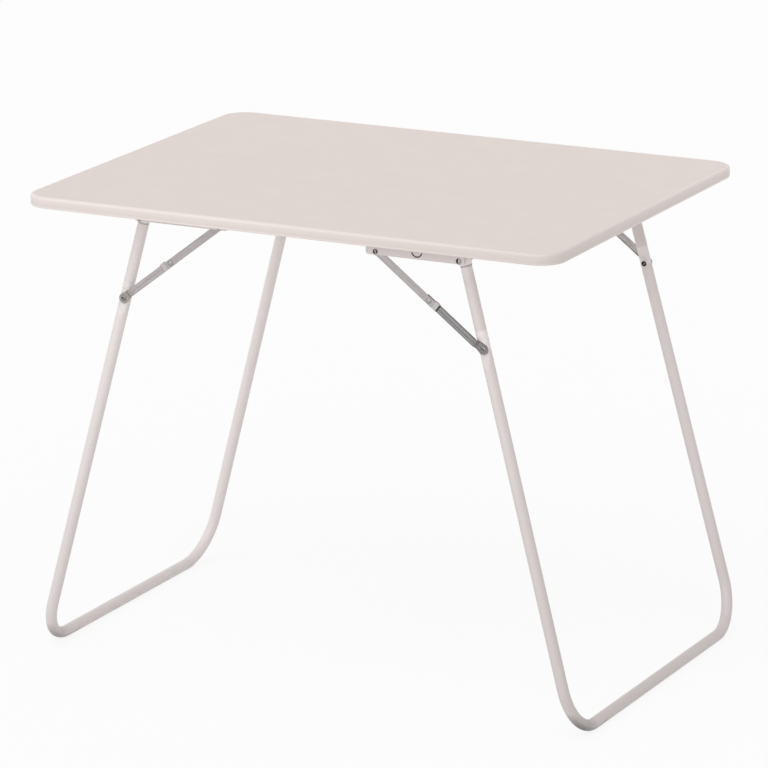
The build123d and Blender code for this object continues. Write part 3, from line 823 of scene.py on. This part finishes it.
open_end = [(0.0, 0.4, 0.75), (0.7, 0.35, 0.65), (1.0, -0.2, 0.1), (1.5, -0.4, 0.0), (2.1, -0.2, 0.0),
            (2.3, 0.5, 0.0), (2.6, 1.05, 0.02), (3.0, head_height, 0.05), (3.4, 1.0, 0.05),
            (3.8, 0.55, 0.2), (head_radius, 0.2, 0.3), (head_radius, 0.0, 0.3)]
flat_crown = [(0.0, head_height, 0.62), (1.6, 1.12, 0.6), (2.4, 0.98, 0.58), (3.0, 0.78, 0.5),
              (3.5, 0.5, 0.4), (3.85, 0.25, 0.3), (head_radius, 0.1, 0.2), (head_radius, 0.0, 0.2)]


def outward(form, seat):
    return [(radius, seat / mm + height, shine) for radius, height, shine in reversed(form)]


def inward(form, seat):
    return [(radius, seat / mm - height, shine) for radius, height, shine in form]


def shank(radius, start, end):
    return [(radius, start / mm, 0.0), (radius, end / mm, 0.0)]


print("heads are", 2 * head_radius, "mm wide and", head_height, "mm high")

# %% [markdown]
# ## Bars on the heads
# A bright bar crosses each head, a painted highlight like the reflection across turned metal, with
# painted shade in the hollows beside it. It could be cut into the mesh, but it is only a change of
# brightness, so it is written into the shine of the vertices inside a given radius. Its turn is the
# angle from the horizontal that the photo shows for that kind of rivet, and its offset moves it off
# the middle. All its lengths are in millimetres.


# %% Painted highlight bars
def paint_highlight_bar(mesh, centre, outer_radius, half_width, turn, bar_shine, left_shine=0.04, right_shine=0.04,
               offset=0.0):
    distance_layer = mesh.verts.layers.float["axis_distance"]
    shine_layer = mesh.verts.layers.float["shine"]
    for vertex in mesh.verts:
        place = (vertex.co - centre) / mm
        from_bar = place.x * sin(turn) - place.z * cos(turn) - offset
        if vertex[distance_layer] < outer_radius:
            vertex[shine_layer] = (bar_shine if abs(from_bar) < half_width
                                   else left_shine if from_bar < 0 else right_shine)


# Painted highlight bars, with painted shade beside them, set for each kind of rivet.
stay_top_bar = dict(outer_radius=3.2, half_width=0.7, turn=radians(103), bar_shine=0.65)
stay_foot_bar = dict(outer_radius=2.0, half_width=0.55, turn=radians(50), bar_shine=0.75)
leg_pivot_bar = dict(outer_radius=3.4, half_width=1.6, turn=radians(90), bar_shine=0.65,
                     left_shine=0.0, right_shine=0.45, offset=1.1)
print("bars are", [2 * bar["half_width"] for bar in (stay_top_bar, stay_foot_bar, leg_pivot_bar)], "mm wide")

# %% [markdown]
# ## Where the rivets sit
# A rivet has to touch the plates that it holds. Its seats could be typed in, but they would go wrong
# when the model changes, so they are read from the boxes of the CAD nodes. All distances run
# outwards from the middle plane between front and back.

# %% Seats of the rivets
running_gap = 0.1 * mm
link_thickness, bracket_sheet = 1.2 * mm, 1.5 * mm
outer_press_depth, inner_press_depth = 3.1 * mm, 1 * mm
tube_between_flats = tube_diameter - outer_press_depth - inner_press_depth


def reach(node_name):
    low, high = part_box(node_name)
    return sorted((abs(low.y), abs(high.y)))


seats = {}
for corner in corners:
    inboard, outboard = reach(f"{corner}_bracket")
    upper_inner, upper_head = reach(f"{corner}_knuckle_head")
    lower_tail, lower_outer = reach(f"{corner}_knuckle_tail")
    eye_inner = reach(f"{corner}_lower_link")[0]
    eye_outer = eye_inner + link_thickness + running_gap
    seats[corner] = SimpleNamespace(
        tube_inner=eye_inner - running_gap - tube_between_flats,
        eye_outer=eye_outer,
        lower_inner=lower_tail + head_height * mm,
        lower_outer=lower_outer,
        upper_inner=upper_inner,
        upper_outer=upper_head - head_height * mm,
        inboard=inboard,
        cheek_inner=outboard - bracket_sheet,
        outboard=outboard,
    )
    print(corner, {name: round(value / mm, 1) for name, value in vars(seats[corner]).items()})

# %% [markdown]
# The rivets and pins differ in outline, but they are all made and placed alike. Each could have its
# own code, but one function serves them all: it spins the profile about a line from front to back,
# turns the faces outwards, polishes the bar and takes the place of the CAD node that stood there.


# %% Turning a piece at a corner
def side_of(corner):
    return -1 if corner.endswith("front") else 1


def turned_piece(name, corner, place, profile, body, replaced, bar=None):
    piece = begin_piece(name)
    mesh = turned_mesh()
    centre, axis = Vector((place.x, 0, place.z)), Vector((0, side_of(corner), 0))
    spin_profile(mesh, centre, axis, Vector((1, 0, 0)), profile)
    bmesh.ops.recalc_face_normals(mesh, faces=mesh.faces)
    if bar:
        paint_highlight_bar(mesh, centre, **bar)
    finish_piece(piece, mesh, rivet_steel, body)
    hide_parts(replaced)


print("front pieces point to", side_of("right_front"), "and back pieces to", side_of("right_back"))

# %% [markdown]
# ## The stay's top rivet
# The upper link swings on a rivet in the bracket's outer cheek. Its shoulder, as wide as its head,
# fills the space between the link and the cheek, so the link stays clear of the folded tube. The
# parts could be joined afterwards, but one profile that holds the rolled end, the shank, the
# shoulder and the dished head leaves no seams between them.

# %% Stay top rivets
for corner in corners:
    seat = seats[corner]
    shoulder = shank(head_radius, seat.upper_outer + running_gap, seat.cheek_inner)
    turned_piece(
        f"{corner}_stay_top_rivet", corner, joint_place[f"{corner}_upper_link_swing"],
        inward(open_end, seat.upper_inner - running_gap)
        + shank(shank_radius, seat.upper_inner - running_gap, seat.upper_outer + running_gap) + shoulder
        + shank(shank_radius, seat.cheek_inner, seat.outboard) + outward(dished_head, seat.outboard),
        "table_top", "stay_top_rivets", stay_top_bar)

# %% [markdown]
# ## The leg's pivot pin
# Each tube turns on a pin that crosses the whole bracket and has a polished head on both cheeks.
# Two loose heads would leave the tube's bore empty, so one profile runs from head to head. The pin
# belongs to the board's body, because the leg turns on it while it stands still.

# %% Pivot pins
for corner in corners:
    seat, side = seats[corner], corner.split("_")[0]
    turned_piece(
        f"{corner}_pivot_pin", corner, joint_place[f"{side}_leg_fold"],
        inward(polished_crown, seat.inboard) + shank(pin_radius, seat.inboard, seat.outboard)
        + outward(polished_crown, seat.outboard),
        "table_top", "leg_pivot_pins", leg_pivot_bar)

# %% [markdown]
# ## The stay's foot rivet
# The lower link's eye lies on a flat pressed into the tube. A semi-tubular rivet through both has
# its rolled end outside, where the photo shows a ring round a hollow. A ring laid on a disc could
# look like it, but in one profile it rolls out of the shank as the metal does. The rivet moves with
# the leg.

# %% Stay foot rivets
for corner in corners:
    seat, side = seats[corner], corner.split("_")[0]
    turned_piece(
        f"{corner}_stay_foot_rivet", corner, joint_place[f"{corner}_lower_link_swing"],
        inward(open_end, seat.tube_inner) + shank(shank_radius, seat.tube_inner, seat.eye_outer)
        + outward(tubular_end, seat.eye_outer),
        f"{side}_leg", f"{side}_stay_foot_rivets", stay_foot_bar)

# %% [markdown]
# ## The knuckle
# The two links meet at the knuckle rivet. A real one is a single piece, but the model opens each
# closed linkage there, so it is turned in two halves that each ride on their own link: a crown on
# the upper link and a rolled end on the lower one.

# %% Knuckle crowns and rolled ends
for corner in corners:
    seat = seats[corner]
    knuckle_low, knuckle_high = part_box(f"{corner}_knuckle_head")
    knuckle_place = (knuckle_low + knuckle_high) / 2
    turned_piece(
        f"{corner}_knuckle_crown", corner, knuckle_place,
        [(0.0, seat.upper_inner / mm, 0.0)] + shank(shank_radius, seat.upper_inner, seat.upper_outer)
        + outward(flat_crown, seat.upper_outer),
        f"{corner}_upper_link", f"{corner}_knuckle_head")
    turned_piece(
        f"{corner}_knuckle_rolled_end", corner, knuckle_place,
        inward(open_end[2:], seat.lower_inner) + shank(shank_radius, seat.lower_inner, seat.lower_outer)
        + [(0.0, seat.lower_outer / mm, 0.0)],
        f"{corner}_lower_link", f"{corner}_knuckle_tail")

# %% [markdown]
# ## The screws
# Each bracket hangs on two pan-head screws with a cross recess, seen only from below, between the
# bracket's cheeks. The heads are spun like the rivets. The recess isn't round, so two crossed
# wedges are made beside them as a cutter: cubes that taper towards the screw.

# %% Screw heads and the cutter
screw_shares = (0.24, 0.76)
screw_form = [(0.0, 12.5, 0.0), (0.6, 12.0, 0.5), (2.0, 9.5, 0.5), (2.0, 0.0, 0.5), (4.0, 0.0, 0.2),
              (4.0, -0.7, 0.5), (3.8, -1.2, 0.7), (3.3, -1.65, 0.75), (2.4, -1.93, 0.75), (1.2, -2.0, 0.7),
              (0.0, -2.0, 0.4)]
screw_head_height = 2.0 * mm
recess_length, recess_width, recess_depth = 4.4 * mm, 0.9 * mm, 1.3 * mm
recess_taper = 0.6


def wedge(mesh, place, length, width):
    block = bmesh.ops.create_cube(mesh, size=1.0)["verts"]
    bmesh.ops.scale(mesh, verts=block, vec=(length, width, 2 * recess_depth))
    inner_end = [vertex for vertex in block if vertex.co.z > 0]
    bmesh.ops.scale(mesh, verts=inner_end, vec=(recess_taper, recess_taper, 1.0))
    bmesh.ops.translate(mesh, verts=block, vec=place)


screws, cutter = begin_piece("pan_head_screws"), begin_piece("recess_cutter")
heads, wedges = turned_mesh(), bmesh.new()
for corner in corners:
    low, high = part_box(f"{corner}_bracket")
    for share in screw_shares:
        under_web = Vector((low.x + share * (high.x - low.x), (low.y + high.y) / 2, high.z - bracket_sheet))
        spin_profile(heads, under_web, Vector((0, 0, 1)), Vector((1, 0, 0)), screw_form)
        head_face = under_web - Vector((0, 0, screw_head_height))
        wedge(wedges, head_face, recess_length, recess_width)
        wedge(wedges, head_face, recess_width, recess_length)
bmesh.ops.recalc_face_normals(heads, faces=heads.faces)
print("screws:", len(corners) * len(screw_shares), "with", len(heads.faces), "faces before the recess")

# %% [markdown]
# A Boolean modifier takes the wedges out of the heads. Left live, it would need the cutter in the
# scene for good, so its result is kept as a plain mesh and the cutter is removed.

# %% Cutting the cross recess
heads.to_mesh(screws.data)
wedges.to_mesh(cutter.data)
heads.free()
wedges.free()

recess = screws.modifiers.new("cross_recess", "BOOLEAN")
recess.object, recess.operation, recess.use_self = cutter, "DIFFERENCE", True
cut_screws = bpy.data.meshes.new_from_object(screws.evaluated_get(bpy.context.evaluated_depsgraph_get()))
screws.modifiers.clear()
bpy.data.objects.remove(cutter)
mesh = bmesh.new()
mesh.from_mesh(cut_screws)
finish_piece(screws, mesh, rivet_steel, "table_top")
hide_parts("bracket_screws")

# %% [markdown]
# ## The catch leaves
# Behind each spring tongue lies a thin leaf with rounded corners and a pressed pad, painted with
# the bracket. A plain box would show hard corners from inside, so it starts as a cube that is
# flattened, has its four corner edges bevelled, and gets its pad by an inset with a little depth.

# %% Catch leaves
leaf_length, leaf_height, leaf_thickness = 27 * mm, 14.4 * mm, 0.4 * mm
leaf_corner, corner_segments = 3 * mm, 5
leaf_above_edge = 0.6 * mm
pad_inset, pad_height = 3 * mm, 0.25 * mm

for corner in corners:
    low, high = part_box(f"{corner}_bracket")
    outer_face = low.y if side_of(corner) < 0 else high.y
    side_sign = 1 if high.x > 0 else -1
    centre = Vector((side_sign * tongue_centre[0],
                     outer_face - side_of(corner) * (bracket_sheet + leaf_thickness / 2),
                     low.z + leaf_above_edge + leaf_height / 2))
    leaf = begin_piece(f"{corner}_catch_leaf")
    mesh = bmesh.new()
    block = bmesh.ops.create_cube(mesh, size=1.0)["verts"]
    bmesh.ops.scale(mesh, verts=block, vec=(leaf_length, leaf_thickness, leaf_height))
    corner_edges = [edge for edge in mesh.edges
                    if abs(edge.verts[0].co.y - edge.verts[1].co.y) > leaf_thickness / 2]
    bmesh.ops.bevel(mesh, geom=corner_edges, offset=leaf_corner, affect="EDGES",
                    segments=corner_segments, profile=0.5, material=-1)
    inner_face = max(mesh.faces, key=lambda face: -side_of(corner) * face.calc_center_median().y)
    bmesh.ops.inset_region(mesh, faces=[inner_face], thickness=pad_inset, depth=pad_height,
                           use_even_offset=True)
    bmesh.ops.translate(mesh, verts=mesh.verts, vec=centre)
    # The bracket finish lays the slot's painted shade band on the leaf too, so the dark arc shows through
    # the slot.
    finish_piece(leaf, mesh, bracket_paint, "table_top")

# %% [markdown]
# ## The floor and the white background
# The photograph stands the table on pure white. Brighter lamps would bleach the table too, so the
# white comes from the floor itself: for camera and mirror rays it is mostly plain white light, which
# keeps a faint shadow, and for the light that it throws back up it stays a real pale surface.

# %% Floor
floor_size = 40
floor_colour, floor_roughness, floor_specular = (0.9, 0.9, 0.9), 0.9, 0.1
pure_white = (1, 1, 1)
white_share = 0.86


def seen_directly(tree):
    path = add_node(tree, "ShaderNodeLightPath").outputs
    seen = math(tree, "MAXIMUM", path["Is Camera Ray"], path["Is Glossy Ray"])
    return math(tree, "MAXIMUM", seen, path["Is Transmission Ray"])


floor = begin_piece("studio_floor")
floor_mesh = bmesh.new()
bmesh.ops.create_grid(floor_mesh, x_segments=1, y_segments=1, size=floor_size / 2)
floor_mesh.to_mesh(floor.data)
floor_mesh.free()

floor_paint, tree, shader = new_material("studio_floor_paint", floor_roughness, specular=floor_specular)[:3]
feed(tree, shader["Base Color"], floor_colour)
white = add_node(tree, "ShaderNodeEmission", {"Color": pure_white, "Strength": 1.0})
mixed = add_node(tree, "ShaderNodeMixShader", {0: math(tree, "MULTIPLY", seen_directly(tree), white_share)})
tree.links.new(tree.nodes["Principled BSDF"].outputs[0], mixed.inputs[1])
tree.links.new(white.outputs[0], mixed.inputs[2])
tree.links.new(mixed.outputs[0], tree.nodes["Material Output"].inputs["Surface"])
floor.data.materials.append(floor_paint)
print("floor is", floor_size, "m wide")

# %% [markdown]
# ## The room
# The table was photographed in an even white studio. Panels of light round it could give that, but
# they would show in the metal, so the world itself is the room. Seen directly it is pure white, and
# as light it is weaker, so that a colour renders about as it is written.

# %% Room
room_strength = 0.66

world = bpy.data.worlds.new("studio_light")
world.use_nodes = True
scene.world = world
tree = world.node_tree
room = tree.nodes["Background"]
feed(tree, room.inputs["Color"], pure_white)
feed(tree, room.inputs["Strength"], room_strength)
backdrop = add_node(tree, "ShaderNodeBackground", {"Color": pure_white, "Strength": 1.0})
mixed = add_node(tree, "ShaderNodeMixShader", {0: seen_directly(tree)})
tree.links.new(room.outputs[0], mixed.inputs[1])
tree.links.new(backdrop.outputs[0], mixed.inputs[2])
tree.links.new(mixed.outputs[0], tree.nodes["World Output"].inputs["Surface"])
print("room light", room_strength)

# %% [markdown]
# ## The lamp
# Room light alone gives every face one tone. A large soft lamp from the front, a little to the
# left, sets the top, the front and the end apart, as the photograph does. A panel of light would be
# weaker on far pieces. A sun is equally strong everywhere, and its very wide disc keeps its shadows
# faint.

# %% Lamp
lamp_strength = 1.35
lamp_elevation = radians(42)
lamp_turn = radians(4)
lamp_softness = radians(85)

lamp_data = bpy.data.lights.new("soft_lamp", "SUN")
lamp_data.energy = lamp_strength
lamp_data.angle = lamp_softness
lamp = bpy.data.objects.new("soft_lamp", lamp_data)
scene.collection.objects.link(lamp)
level_share = cos(lamp_elevation)
towards_lamp = Vector((-sin(lamp_turn) * level_share, -cos(lamp_turn) * level_share, sin(lamp_elevation)))
lamp.rotation_euler = towards_lamp.to_track_quat("Z", "Y").to_euler()
scene.view_settings.view_transform = "Standard"
print("lamp", lamp_strength, "from", [round(value, 2) for value in towards_lamp])

# %% [markdown]
